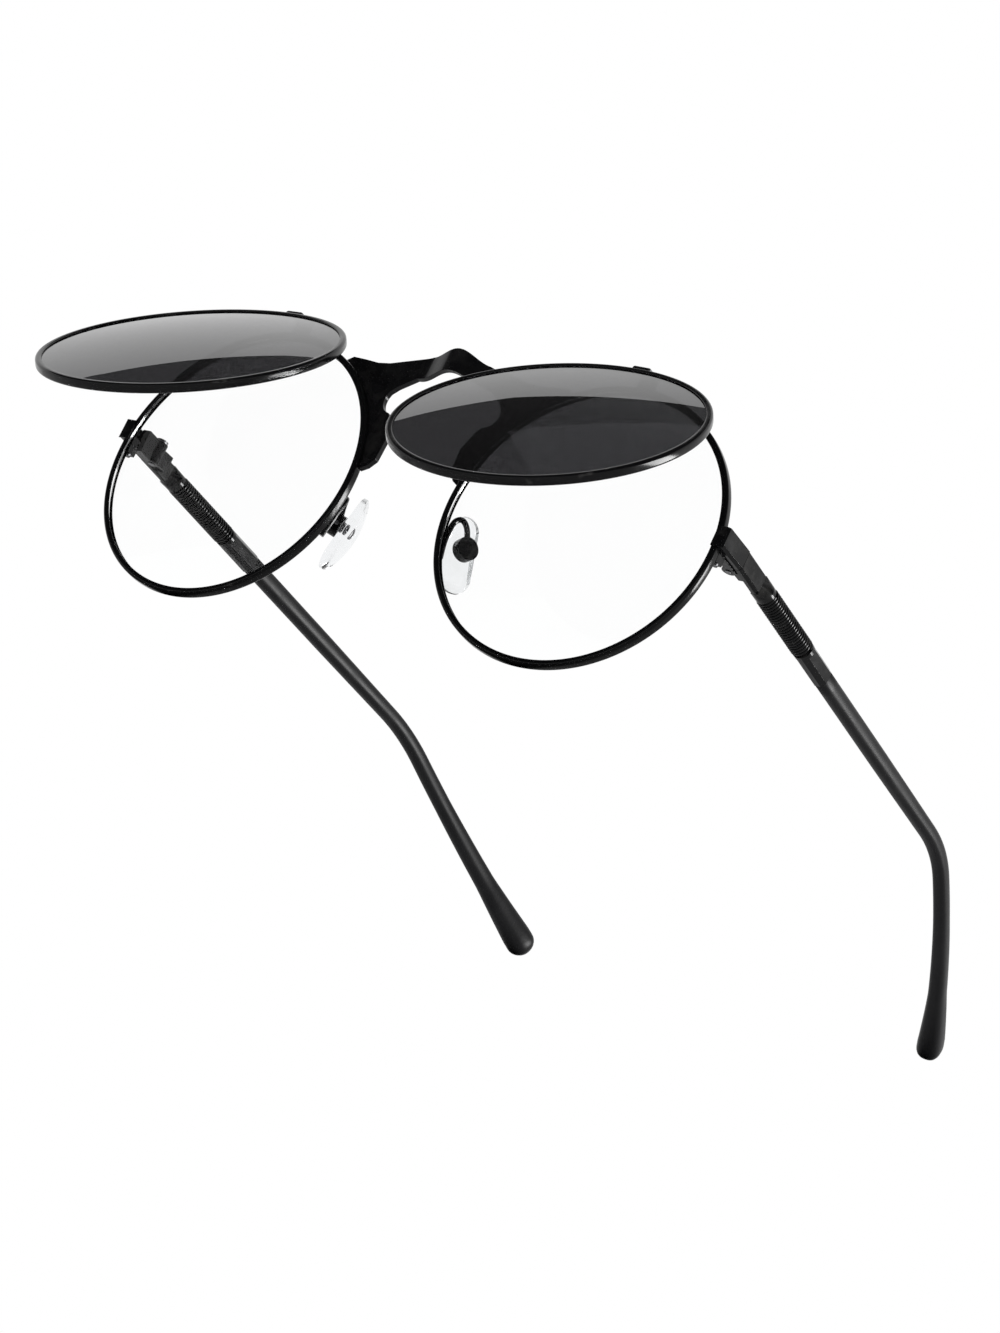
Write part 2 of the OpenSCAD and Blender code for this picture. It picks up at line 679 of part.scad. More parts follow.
module flip_knuckle(side) {
    color(frame_black) flip_frame(side) difference() {
        union() {
            rotate([0, 90, 0]) cylinder(r = flip_knuckle_r, h = flip_knuckle_w, center = true);
            translate([-flip_knuckle_w/2, -flip_knuckle_r + 0.1, -flip_knuckle_r - 0.6])
                cube([flip_knuckle_w, 2*flip_knuckle_r - 0.2, flip_knuckle_r + 0.6]);
        }
        rotate([0, 90, 0]) cylinder(r = flip_pin_r + pin_gap, h = 2*flip_hinge_w, center = true);
        translate([0, 0, flip_centre_z]) rotate([90, 0, 0])
            cylinder(r = flip_outer_r + seat_gap, h = 12, center = true, $fn = ring_fn);
    }
}

module flip_ring(side) {
    color(frame_black) flip_frame(side) difference() {
        translate([0, 0, flip_centre_z]) grooved_ring(flip_inner_r, flip_t, flip_depth, tint_lens_t);
        rotate([0, 90, 0]) cylinder(r = notch_r, h = flip_hinge_w + 2*flip_pin_head + 4*run_gap, center = true);
    }
}

module tinted_lens(side) {
    color(dark_tint) flip_frame(side) translate([0, 0, flip_centre_z]) lens_blank(tint_lens_r, tint_lens_t);
}

rim(left);  // left_rim
rim(right);  // right_rim
clear_lens(left);  // left_clear_lens
clear_lens(right);  // right_clear_lens
bridge();
end_piece(left);  // left_end_piece
end_piece(right);  // right_end_piece
rim_screw(left);  // left_rim_screw
rim_screw(right);  // right_rim_screw
front_hinge(left);  // left_front_hinge
front_hinge(right);  // right_front_hinge
hinge_screw(left);  // left_hinge_screw
hinge_screw(right);  // right_hinge_screw
pad_arm(left);  // left_pad_arm
pad_arm(right);  // right_pad_arm
pad_screw(left);  // left_pad_screw
pad_screw(right);  // right_pad_screw
nose_pad(left);  // left_nose_pad
nose_pad(right);  // right_nose_pad
flip_bracket(left);  // left_flip_bracket
flip_bracket(right);  // right_flip_bracket
flip_pin(left);  // left_flip_pin
flip_pin(right);  // right_flip_pin
flip_knuckle(left);  // left_flip_knuckle
flip_knuckle(right);  // right_flip_knuckle
flip_ring(left);  // left_flip_ring
flip_ring(right);  // right_flip_ring
tinted_lens(left);  // left_tinted_lens
tinted_lens(right);  // right_tinted_lens
temple_bar(left);  // left_temple_bar
temple_bar(right);  // right_temple_bar
temple_hinge(left);  // left_temple_hinge
temple_hinge(right);  // right_temple_hinge
coil(left);  // left_coil
coil(right);  // right_coil
ferrule(left);  // left_ferrule
ferrule(right);  // right_ferrule
temple_sleeve(left);  // left_temple_sleeve
temple_sleeve(right);  // right_temple_sleeve
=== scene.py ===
"""Round flip up glasses: dressed pieces, finishes and a plain studio, laid out as a Blender add-on.

Lengths in the settings are in metres, as the loaded model is. The angles and places of the moving parts
repeat those of the part's own source.
"""

import math

import bmesh
import bpy
from mathutils import Matrix, Vector


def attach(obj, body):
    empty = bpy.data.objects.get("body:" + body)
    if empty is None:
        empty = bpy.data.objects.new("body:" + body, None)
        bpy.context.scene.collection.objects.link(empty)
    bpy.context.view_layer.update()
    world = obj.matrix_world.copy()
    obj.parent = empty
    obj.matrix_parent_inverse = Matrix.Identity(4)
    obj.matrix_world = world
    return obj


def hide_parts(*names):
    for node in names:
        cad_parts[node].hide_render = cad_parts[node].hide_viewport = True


bl_info = {
    "name": "Flip Up Glasses",
    "version": (1, 0, 0),
    "blender": (4, 5, 0),
    "location": "View3D > Sidebar > Glasses",
    "description": "Dresses a round pair of glasses with flip up tinted lenses and sets up a plain studio",
    "category": "Object",
}

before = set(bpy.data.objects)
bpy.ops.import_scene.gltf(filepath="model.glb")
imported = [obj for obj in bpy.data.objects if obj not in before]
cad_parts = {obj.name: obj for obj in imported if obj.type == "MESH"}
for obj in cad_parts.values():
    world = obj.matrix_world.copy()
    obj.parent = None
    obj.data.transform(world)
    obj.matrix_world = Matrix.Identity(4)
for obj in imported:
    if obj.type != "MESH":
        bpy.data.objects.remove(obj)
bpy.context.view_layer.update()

MM = 0.001
LEFT, RIGHT = 1, -1
SIDES = (("left", LEFT), ("right", RIGHT))


# Places and sizes in millimetres and degrees, as the part's source gives them

FRONT_Y = -49.5
RIM_D, RIM_WIRE, RIM_DEPTH, RIM_SPACING, WRAP = 50.7, 1.15, 1.8, 72.4, 2.4
FLIP_D, FLIP_WIRE, FLIP_DEPTH = 51.0, 1.1, 1.65
GROOVE, GROOVE_PLAY, RUN_GAP = 0.32, 0.06, 0.12
CLEAR_T, TINT_T, LENS_CURVE = 1.1, 1.0, 180.0
FLIP_FORWARD, FLIP_UP, FLIP_GAP = 3.5, 27.9, 0.4
FLIP_OPEN = {LEFT: 39.7, RIGHT: 44.2}
SPLAY = {LEFT: 0.4, RIGHT: -5.9}
END_X, END_Z, BAR_T, BAR_H, JOINT_Y, HINGE_R = 63.3, 3.0, 1.4, 3.6, 7.4, 1.25
PITCH, BAR_L, COLLAR_L, COIL_L, COIL_D, FERRULE_L = 3.6, 9.8, 0.9, 15.8, 3.9, 8.6
TEMPLE_L, BEND_AT, BEND_L, EAR_BEND, HOOK_IN = 138.5, 82.5, 12.5, 22.3, 21.7
SLEEVE_H, SLEEVE_W, NECK_H, PADDLE_H, PADDLE_W, TIP_R = 3.5, 2.6, 3.0, 5.4, 4.6, 2.6
HINGE_X = END_X - BAR_T - HINGE_R - 0.05
HINGE_Y = JOINT_Y + 0.7
TEMPLE_START = (END_X - BAR_T / 2 - HINGE_X, JOINT_Y - HINGE_Y + RUN_GAP, END_Z)
SLEEVE_AT = BAR_L + COIL_L + FERRULE_L
BEND_END = BEND_AT + BEND_L
PADDLE_AT = BEND_END + 10.0
RIM_OUTER_R = RIM_D / 2 + RIM_WIRE / 2
FLIP_DROP = FLIP_GAP + FLIP_D / 2 + FLIP_WIRE / 2
LUG_AT = (END_X - BAR_T - 0.425, 1.0773 + RIM_DEPTH / 2 + 0.7, END_Z - 2.05)
LUG_SIZE, LUG_STEP = (1.25, 2.1, 1.45), 0.825
PAD_AT, PAD_SPLAY, PAD_LEAN = (13.5, 4.3, -5.7), 28.0, 11.0
NOTCH_R, NOTCH_L = 0.97, 4.02

# Sizes in millimetres, shares and step counts that only the dressed pieces have

RING_ROUND, RING_CUT, RING_LIP = 0.46, 0.2, 0.09
LENS_GAP, LENS_CHAMFER = 0.03, 0.08
RIM_EDGE, FLIP_EDGE, SCREW_EDGE, FERRULE_EDGE, PAD_EDGE, INSERT_EDGE = 0.05, 0.04, 0.05, 0.14, 0.28, 0.08
LEAF_SHARE, ARM_SHARE = 0.7, 0.5
SHOULDER_L, COLLAR_R = 3.0, COIL_D / 2 - 0.1
COIL_END_GAP, COIL_STEPS = 0.05, 20
INSERT_PROFILE = [(0.62, -0.2), (1.0, -0.2), (1.0, 0.2), (0.62, 0.2)]
INSERT_AT = 1.75
SLEEVE_SQUARE, SLEEVE_MOUTH = 0.8, 0.94
RING_STEPS, LENS_STEPS, BEND_STEPS = 192, 160, 24
TIP_ANGLES = (12, 24, 36, 48, 60, 71, 80, 86, 89)

# Limits for welding points, in millimetres for new shapes and metres for loaded ones, and angles in degrees

NEW_WELD, LOADED_WELD = 1e-5, 1e-6
FLAT_ANGLE, BEVEL_ANGLE = 1.0, 30.0

# Input and output places of a colour mix node

MIX_PLAIN, MIX_MARKED, MIX_OUT = 6, 7, 2

# The studio and the photograph's camera: places in metres, turn in radians, lens and sensor in millimetres.
# Each lamp has its name, place, size, watts and the kind of ray that doesn't see it.

FLOOR_SIZE = 1.5
SKY_LIGHT, SKY_SEEN = 0.62, 1.0
LAMP_AIM = (0, 0, 0.02)
LAMPS = (
    ("overhead_softbox", (-0.15, -0.1, 0.75), (0.5, 0.35), 2.2, "visible_glossy"),
    ("side_strip", (0.8, 0.41, 0.14), (0.6, 0.24), 17.0, "visible_diffuse"),
)
CARD_Z = 1.0
CARD_OUTLINE = ((-6.0, -4.0), (4.0, -4.0), (4.0, 0.26), (-0.72, 0.26), (-1.0, 0.12), (-6.0, -2.4))
CAMERA_TURN = (1.06199, 0.65144, -0.18217)
CAMERA_AT = (0.4944326, -0.5994040, -0.2831428)
CAMERA_ORIGIN = (0.0, (FRONT_Y - 0.39) * MM, 0.025875)
CAMERA_LENS, CAMERA_SENSOR, CAMERA_NEAR, CAMERA_FAR = 134.88, 36.0, 0.01, 20.0


# Settings that a user would change


class GlassesSizes(bpy.types.PropertyGroup):
    rim_wire: bpy.props.FloatProperty(
        name="Rim Wire", description="Radial thickness of the rim wire", default=RIM_WIRE * MM,
        subtype="DISTANCE", unit="LENGTH")
    flip_wire: bpy.props.FloatProperty(
        name="Flip Ring Wire", description="Radial thickness of the flip ring", default=FLIP_WIRE * MM,
        subtype="DISTANCE", unit="LENGTH")
    coil_wire: bpy.props.FloatProperty(
        name="Coil Wire", description="Diameter of the wire wound on each temple", default=0.56 * MM,
        subtype="DISTANCE", unit="LENGTH")
    coil_turns: bpy.props.IntProperty(
        name="Coil Turns", description="Number of turns in each coil", default=22, min=8, max=40)
    edge_round: bpy.props.FloatProperty(
        name="Edge Rounding", description="Radius worn onto the plate edges", default=0.13 * MM,
        subtype="DISTANCE", unit="LENGTH")


class GlassesColours(bpy.types.PropertyGroup):
    lacquer: bpy.props.FloatVectorProperty(
        name="Lacquer", description="Colour of the frame's lacquer", size=4, subtype="COLOR",
        default=(0.0045, 0.0045, 0.005, 1.0), min=0.0, max=1.0)
    sleeve: bpy.props.FloatVectorProperty(
        name="Sleeve", description="Colour of the temple sleeves", size=4, subtype="COLOR",
        default=(0.013, 0.013, 0.014, 1.0), min=0.0, max=1.0)
    screw: bpy.props.FloatVectorProperty(
        name="Screw", description="Colour of screws and pins", size=4, subtype="COLOR",
        default=(0.12, 0.12, 0.125, 1.0), min=0.0, max=1.0)
    # Lens colour near the hinge, made lighter as a painted reflection of the bright surroundings
    tint_painted_reflection: bpy.props.FloatVectorProperty(
        name="Tint Near Hinge, Painted Reflection", description="Colour that the tinted lens passes near its hinge", size=4,
        subtype="COLOR", default=(0.036, 0.036, 0.038, 1.0), min=0.0, max=1.0)
    tint_low: bpy.props.FloatVectorProperty(
        name="Tint, Lower", description="Colour that the tinted lens passes near its free edge", size=4,
        subtype="COLOR", default=(0.028, 0.028, 0.03, 1.0), min=0.0, max=1.0)
    pad: bpy.props.FloatVectorProperty(
        name="Nose Pad", description="Colour of the clear nose pads", size=4, subtype="COLOR",
        default=(0.9, 0.91, 0.92, 1.0), min=0.0, max=1.0)
    floor: bpy.props.FloatVectorProperty(
        name="Floor", description="Colour of the studio floor", size=4, subtype="COLOR",
        default=(0.82, 0.82, 0.82, 1.0), min=0.0, max=1.0)


def turned(degrees, axis):
    return Matrix.Rotation(math.radians(degrees), 4, axis)


def moved(x, y, z):
    return Matrix.Translation((x, y, z))


def side_place(side):
    return Matrix.Scale(MM, 4) @ moved(0, FRONT_Y, RIM_OUTER_R) @ Matrix.Diagonal((side, 1, 1, 1))


def rim_place(side):
    return side_place(side) @ moved(RIM_SPACING / 2, 0, 0) @ turned(WRAP, "Z")


def flip_place(side):
    hinge = rim_place(side) @ moved(0, -FLIP_FORWARD, FLIP_UP) @ turned(-FLIP_OPEN[side], "X")
    return hinge @ moved(0, 0, -FLIP_DROP)


def temple_place(side):
    return side_place(side) @ moved(HINGE_X, HINGE_Y, 0) @ turned(-SPLAY[side], "Z")


def pad_place(side):
    return side_place(side) @ moved(*PAD_AT) @ turned(-PAD_LEAN, "Y") @ turned(180 - PAD_SPLAY, "Z")


def along_temple(side, s):
    return temple_place(side) @ moved(*TEMPLE_START) @ turned(-90 - PITCH, "X") @ moved(0, 0, s)


# Mesh helpers


def object_from(bm, name, place=None):
    """Puts a finished bmesh in the scene, with its place in its mesh and its faces outwards."""
    if place is not None:
        bm.transform(place)
        if place.determinant() < 0:
            bmesh.ops.reverse_faces(bm, faces=bm.faces[:])
    mesh = bpy.data.meshes.new(name)
    bm.to_mesh(mesh)
    bm.free()
    piece = bpy.data.objects.new(name, mesh)
    bpy.context.scene.collection.objects.link(piece)
    return piece


def shade(piece, angle=35.0):
    """Smooth faces, with edges sharper than the angle kept crisp."""
    bm = bmesh.new()
    bm.from_mesh(piece.data)
    for face in bm.faces:
        face.smooth = True
    for edge in bm.edges:
        edge.smooth = len(edge.link_faces) == 2 and edge.calc_face_angle(0.0) < math.radians(angle)
    bm.to_mesh(piece.data)
    bm.free()


def round_edges(piece, width, segments=2):
    bevel = piece.modifiers.new("Edge Rounding", "BEVEL")
    bevel.width = width
    bevel.segments = segments
    bevel.limit_method = "ANGLE"
    bevel.angle_limit = math.radians(BEVEL_ANGLE)
    bevel.profile = 0.5
    bevel.harden_normals = True
    bevel.use_clamp_overlap = True


def bake_modifiers(piece):
    """Turns the modified shape into the piece's own mesh."""
    graph = bpy.context.evaluated_depsgraph_get()
    shaped = bpy.data.meshes.new_from_object(
        piece.evaluated_get(graph), preserve_all_data_layers=True, depsgraph=graph)
    old = piece.data
    piece.modifiers.clear()
    piece.data = shaped
    shaped.name = piece.name
    bpy.data.meshes.remove(old)


def cut_away(piece, cutter):
    """Takes the cutter's space out of the piece and removes the cutter."""
    cut = piece.modifiers.new("Cut", "BOOLEAN")
    cut.operation = "DIFFERENCE"
    cut.solver = "EXACT"
    cut.object = cutter
    bake_modifiers(piece)
    bpy.data.objects.remove(cutter)


def join_meshes(piece, other):
    """Adds the other piece's mesh to the first one and removes the other."""
    bm = bmesh.new()
    bm.from_mesh(piece.data)
    bm.from_mesh(other.data)
    bm.to_mesh(piece.data)
    bm.free()
    bpy.data.objects.remove(other)


def spun(points, steps):
    """Closed solid made by turning a profile of radius and backward distance about the Y axis."""
    bm = bmesh.new()
    verts = [bm.verts.new((r, y, 0.0)) for r, y in points]
    edges = [bm.edges.new((verts[i], verts[(i + 1) % len(verts)])) for i in range(len(verts))]
    on_axis = [v for v in verts if v.co.x == 0.0]
    if on_axis:
        shut = [e for e in edges if all(v in on_axis for v in e.verts)]
        bmesh.ops.delete(bm, geom=shut, context="EDGES")
    bmesh.ops.spin(
        bm, geom=bm.verts[:] + bm.edges[:], cent=(0, 0, 0), axis=(0, 1, 0), dvec=(0, 0, 0),
        angle=2 * math.pi, steps=steps, use_merge=True, use_duplicate=False)
    bmesh.ops.remove_doubles(bm, verts=bm.verts[:], dist=NEW_WELD)
    bmesh.ops.recalc_face_normals(bm, faces=bm.faces[:])
    return bm


def ring_profile(inner, thick, depth, lens_t):
    """Outline of a grooved wire: round outside, small cuts and a lens groove inside."""
    outer, half, groove, floor_r = inner + thick, depth / 2, lens_t / 2 + GROOVE_PLAY, inner + GROOVE
    lip = min(RING_LIP, (half - groove) / 3)
    near = RING_CUT * 0.29
    low, high = [], []
    for step in range(7):
        a = math.radians(15 * step)
        across, along = RING_ROUND * math.sin(a), RING_ROUND * math.cos(a)
        low.append((outer - RING_ROUND + across, -half + RING_ROUND - along))
        high.append((outer - RING_ROUND + along, half - RING_ROUND + across))
    inside = [
        (inner + RING_CUT, half), (inner + near, half - near), (inner, half - RING_CUT),
        (inner, groove + lip), (inner + lip, groove), (floor_r, groove), (floor_r, -groove),
        (inner + lip, -groove), (inner, -groove - lip), (inner, -half + RING_CUT),
        (inner + near, -half + near), (inner + RING_CUT, -half),
    ]
    return low + high + inside


def lens_profile(radius, thick, steps=14):
    """Half section of a curved lens with a small safety chamfer, from its middle to its rim."""
    def sag(r):
        return LENS_CURVE - math.sqrt(LENS_CURVE ** 2 - r * r)
    edge = sag(radius)
    rows = [radius * i / steps for i in range(steps + 1)]
    front = [(r, sag(r) - edge - thick / 2) for r in rows]
    back = [(r, sag(r) - edge + thick / 2) for r in rows]
    front[-1] = (radius - LENS_CHAMFER, front[-1][1])
    back[-1] = (radius - LENS_CHAMFER, back[-1][1])
    rim = [(radius, front[-1][1] + LENS_CHAMFER), (radius, back[-1][1] - LENS_CHAMFER)]
    return front + rim + back[::-1]


def dressed_copy(node, name, width, segments=2):
    """A copy of a plain solid with merged faces and rounded edges, which stands for it."""
    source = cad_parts[node]
    bm = bmesh.new()
    bm.from_mesh(source.data)
    bmesh.ops.remove_doubles(bm, verts=bm.verts[:], dist=LOADED_WELD)
    bmesh.ops.dissolve_limit(
        bm, angle_limit=math.radians(FLAT_ANGLE), use_dissolve_boundaries=False, verts=bm.verts[:],
        edges=bm.edges[:])
    piece = object_from(bm, name)
    piece.data.materials.clear()
    shade(piece)
    if width:
        round_edges(piece, width, segments)
    return piece


def dress(piece, material, slot, body, *nodes):
    piece.data.materials.clear()
    piece.data.materials.append(material)
    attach(piece, body)
    if nodes:
        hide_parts(*nodes)


# Effects shared by several finishes


def group_sockets(name, inputs, outputs):
    group = bpy.data.node_groups.new(name, "ShaderNodeTree")
    for label, kind, default in inputs:
        socket = group.interface.new_socket(label, in_out="INPUT", socket_type=kind)
        socket.default_value = default
    for label, kind in outputs:
        group.interface.new_socket(label, in_out="OUTPUT", socket_type=kind)
    entry = group.nodes.new("NodeGroupInput")
    leave = group.nodes.new("NodeGroupOutput")
    entry.location, leave.location = (-700, 0), (500, 0)
    return group, entry, leave


def grain_group():
    """Fine relief at two sizes, as on moulded or sprayed surfaces."""
    group, entry, leave = group_sockets(
        "Fine Grain", [("Scale", "NodeSocketFloat", 900.0), ("Blend", "NodeSocketFloat", 0.35)],
        [("Height", "NodeSocketFloat")])
    coords = group.nodes.new("ShaderNodeTexCoord")
    fine = group.nodes.new("ShaderNodeTexNoise")
    wide = group.nodes.new("ShaderNodeTexNoise")
    smaller = group.nodes.new("ShaderNodeMath")
    smaller.operation = "MULTIPLY"
    smaller.inputs[1].default_value = 0.22
    mix = group.nodes.new("ShaderNodeMix")
    fine.inputs["Detail"].default_value = 3.0
    wide.inputs["Detail"].default_value = 2.0
    links = group.links
    links.new(coords.outputs["Object"], fine.inputs["Vector"])
    links.new(coords.outputs["Object"], wide.inputs["Vector"])
    links.new(entry.outputs["Scale"], fine.inputs["Scale"])
    links.new(entry.outputs["Scale"], smaller.inputs[0])
    links.new(smaller.outputs[0], wide.inputs["Scale"])
    links.new(entry.outputs["Blend"], mix.inputs[0])
    links.new(fine.outputs["Fac"], mix.inputs[2])
    links.new(wide.outputs["Fac"], mix.inputs[3])
    links.new(mix.outputs[0], leave.inputs["Height"])
    return group


def handling_group():
    """Faint smears and specks that handling leaves, as a mask from 0 to 1."""
    group, entry, leave = group_sockets(
        "Handling Marks",
        [("Scale", "NodeSocketFloat", 120.0), ("Cover", "NodeSocketFloat", 0.35),
         ("Soft", "NodeSocketFloat", 0.2)],
        [("Mask", "NodeSocketFloat")])
    coords = group.nodes.new("ShaderNodeTexCoord")
    noise = group.nodes.new("ShaderNodeTexNoise")
    noise.inputs["Detail"].default_value = 6.0
    noise.inputs["Roughness"].default_value = 0.62
    noise.inputs["Distortion"].default_value = 0.8
    start = group.nodes.new("ShaderNodeMath")
    start.operation = "SUBTRACT"
    start.inputs[0].default_value = 0.86
    end = group.nodes.new("ShaderNodeMath")
    end.operation = "ADD"
    spread = group.nodes.new("ShaderNodeMapRange")
    links = group.links
    links.new(coords.outputs["Object"], noise.inputs["Vector"])
    links.new(entry.outputs["Scale"], noise.inputs["Scale"])
    links.new(entry.outputs["Cover"], start.inputs[1])
    links.new(start.outputs[0], end.inputs[0])
    links.new(entry.outputs["Soft"], end.inputs[1])
    links.new(noise.outputs["Fac"], spread.inputs["Value"])
    links.new(start.outputs[0], spread.inputs["From Min"])
    links.new(end.outputs[0], spread.inputs["From Max"])
    links.new(spread.outputs["Result"], leave.inputs["Mask"])
    return group


def wear_group():
    """Rubbed edges: a mask that follows sharp convex edges, broken up by noise."""
    group, entry, leave = group_sockets(
        "Edge Wear", [("Scale", "NodeSocketFloat", 500.0), ("Amount", "NodeSocketFloat", 0.4)],
        [("Mask", "NodeSocketFloat")])
    shape = group.nodes.new("ShaderNodeNewGeometry")
    coords = group.nodes.new("ShaderNodeTexCoord")
    noise = group.nodes.new("ShaderNodeTexNoise")
    noise.inputs["Detail"].default_value = 4.0
    sharp = group.nodes.new("ShaderNodeMapRange")
    sharp.inputs["From Min"].default_value = 0.53
    sharp.inputs["From Max"].default_value = 0.62
    patchy = group.nodes.new("ShaderNodeMapRange")
    patchy.inputs["From Min"].default_value = 0.48
    patchy.inputs["From Max"].default_value = 0.66
    both = group.nodes.new("ShaderNodeMath")
    both.operation = "MULTIPLY"
    scaled = group.nodes.new("ShaderNodeMath")
    scaled.operation = "MULTIPLY"
    links = group.links
    links.new(coords.outputs["Object"], noise.inputs["Vector"])
    links.new(entry.outputs["Scale"], noise.inputs["Scale"])
    links.new(shape.outputs["Pointiness"], sharp.inputs["Value"])
    links.new(noise.outputs["Fac"], patchy.inputs["Value"])
    links.new(sharp.outputs["Result"], both.inputs[0])
    links.new(patchy.outputs["Result"], both.inputs[1])
    links.new(both.outputs[0], scaled.inputs[0])
    links.new(entry.outputs["Amount"], scaled.inputs[1])
    links.new(scaled.outputs[0], leave.inputs["Mask"])
    return group


def shared_group(name, make):
    return bpy.data.node_groups.get(name) or make()


# Finishes


def new_material(name):
    material = bpy.data.materials.new(name)
    material.use_nodes = True
    nodes = material.node_tree.nodes
    shader = nodes.get("Principled BSDF")
    return material, nodes, material.node_tree.links, shader


def placed_group(nodes, name, make, **values):
    node = nodes.new("ShaderNodeGroup")
    node.node_tree = shared_group(name, make)
    for label, value in values.items():
        node.inputs[label].default_value = value
    return node


def colour_by_mask(nodes, links, mask, target, plain, marked):
    mix = nodes.new("ShaderNodeMix")
    mix.data_type = "RGBA"
    mix.inputs[MIX_PLAIN].default_value = plain
    mix.inputs[MIX_MARKED].default_value = marked
    links.new(mask, mix.inputs[0])
    links.new(mix.outputs[MIX_OUT], target)


def value_by_mask(nodes, links, mask, target, low, high):
    spread = nodes.new("ShaderNodeMapRange")
    spread.inputs["To Min"].default_value = low
    spread.inputs["To Max"].default_value = high
    links.new(mask, spread.inputs["Value"])
    links.new(spread.outputs["Result"], target)


def relief(nodes, links, height, shader, depth, strength):
    bump = nodes.new("ShaderNodeBump")
    bump.inputs["Distance"].default_value = depth
    bump.inputs["Strength"].default_value = strength
    links.new(height, bump.inputs["Height"])
    links.new(bump.outputs["Normal"], shader.inputs["Normal"])


def lacquer_material(colours):
    """Gloss black lacquer over thin metal: slight spray relief, faint smears, rubbed edges."""
    material, nodes, links, shader = new_material("gloss_black_lacquer")
    shader.inputs["IOR"].default_value = 1.23
    wear = placed_group(nodes, "Edge Wear", wear_group, Scale=420.0, Amount=0.5)
    marks = placed_group(nodes, "Handling Marks", handling_group, Scale=160.0, Cover=0.4, Soft=0.25)
    grain = placed_group(nodes, "Fine Grain", grain_group, Scale=1500.0, Blend=0.5)
    colour_by_mask(
        nodes, links, wear.outputs["Mask"], shader.inputs["Base Color"],
        plain=tuple(colours.lacquer), marked=(0.07, 0.068, 0.065, 1.0))
    value_by_mask(nodes, links, marks.outputs["Mask"], shader.inputs["Roughness"], low=0.14, high=0.24)
    relief(nodes, links, grain.outputs["Height"], shader, depth=0.00004, strength=0.12)
    return material


def sleeve_material(colours):
    """Satin dark grey plastic with moulded grain and a little dust."""
    material, nodes, links, shader = new_material("satin_grey_sleeve")
    shader.inputs["IOR"].default_value = 1.17
    marks = placed_group(nodes, "Handling Marks", handling_group, Scale=90.0, Cover=0.42, Soft=0.3)
    grain = placed_group(nodes, "Fine Grain", grain_group, Scale=2200.0, Blend=0.3)
    colour_by_mask(
        nodes, links, marks.outputs["Mask"], shader.inputs["Base Color"],
        plain=tuple(colours.sleeve), marked=(0.019, 0.019, 0.02, 1.0))
    value_by_mask(nodes, links, marks.outputs["Mask"], shader.inputs["Roughness"], low=0.33, high=0.46)
    relief(nodes, links, grain.outputs["Height"], shader, depth=0.00006, strength=0.3)
    return material


def screw_material(colours):
    """Blackened steel with a fine grain, worn bright on the edges."""
    material, nodes, links, shader = new_material("blackened_steel")
    shader.inputs["Metallic"].default_value = 1.0
    wear = placed_group(nodes, "Edge Wear", wear_group, Scale=900.0, Amount=0.8)
    grain = placed_group(nodes, "Fine Grain", grain_group, Scale=3000.0, Blend=0.3)
    colour_by_mask(
        nodes, links, wear.outputs["Mask"], shader.inputs["Base Color"],
        plain=tuple(colours.screw), marked=(0.42, 0.42, 0.43, 1.0))
    value_by_mask(nodes, links, grain.outputs["Height"], shader.inputs["Roughness"], low=0.22, high=0.42)
    relief(nodes, links, grain.outputs["Height"], shader, depth=0.00003, strength=0.2)
    return material


def clear_lens_material():
    """Polished clear plastic with hardly visible smears."""
    material, nodes, links, shader = new_material("clear_lens_plastic")
    shader.inputs["Transmission Weight"].default_value = 1.0
    shader.inputs["IOR"].default_value = 1.15
    shader.inputs["Roughness"].default_value = 0.0
    marks = placed_group(nodes, "Handling Marks", handling_group, Scale=70.0, Cover=0.3, Soft=0.3)
    colour_by_mask(
        nodes, links, marks.outputs["Mask"], shader.inputs["Base Color"],
        plain=(0.995, 0.997, 0.997, 1.0), marked=(0.975, 0.98, 0.98, 1.0))
    return material


def tinted_lens_material(colours):
    """Polished dark lens with a painted reflection that makes it a little lighter towards its hinge."""
    material, nodes, links, shader = new_material("tinted_lens_plastic")
    shader.inputs["Transmission Weight"].default_value = 1.0
    shader.inputs["IOR"].default_value = 1.45
    coords = nodes.new("ShaderNodeTexCoord")
    split = nodes.new("ShaderNodeSeparateXYZ")
    # Painted reflection: the lens turns lighter between these heights in metres, so its upper part looks lit
    painted_reflection_fade = nodes.new("ShaderNodeMapRange")
    painted_reflection_fade.interpolation_type = "SMOOTHSTEP"
    painted_reflection_fade.inputs["From Min"].default_value = 0.032
    painted_reflection_fade.inputs["From Max"].default_value = 0.044
    links.new(coords.outputs["Object"], split.inputs[0])
    links.new(split.outputs["Z"], painted_reflection_fade.inputs["Value"])
    colour_by_mask(
        nodes, links, painted_reflection_fade.outputs["Result"], shader.inputs["Base Color"],
        plain=tuple(colours.tint_low), marked=tuple(colours.tint_painted_reflection))
    marks = placed_group(nodes, "Handling Marks", handling_group, Scale=60.0, Cover=0.3, Soft=0.3)
    value_by_mask(nodes, links, marks.outputs["Mask"], shader.inputs["Roughness"], low=0.0, high=0.02)
    return material


def pad_material(colours):
    """Soft clear silicone with a faint haze."""
    material, nodes, links, shader = new_material("clear_silicone")
    shader.inputs["Transmission Weight"].default_value = 1.0
    shader.inputs["IOR"].default_value = 1.22
    grain = placed_group(nodes, "Fine Grain", grain_group, Scale=700.0, Blend=0.5)
    marks = placed_group(nodes, "Handling Marks", handling_group, Scale=300.0, Cover=0.4, Soft=0.3)
    colour_by_mask(
        nodes, links, marks.outputs["Mask"], shader.inputs["Base Color"],
        plain=tuple(colours.pad), marked=(0.84, 0.85, 0.85, 1.0))
    value_by_mask(nodes, links, marks.outputs["Mask"], shader.inputs["Roughness"], low=0.06, high=0.2)
    relief(nodes, links, grain.outputs["Height"], shader, depth=0.00008, strength=0.25)
    return material


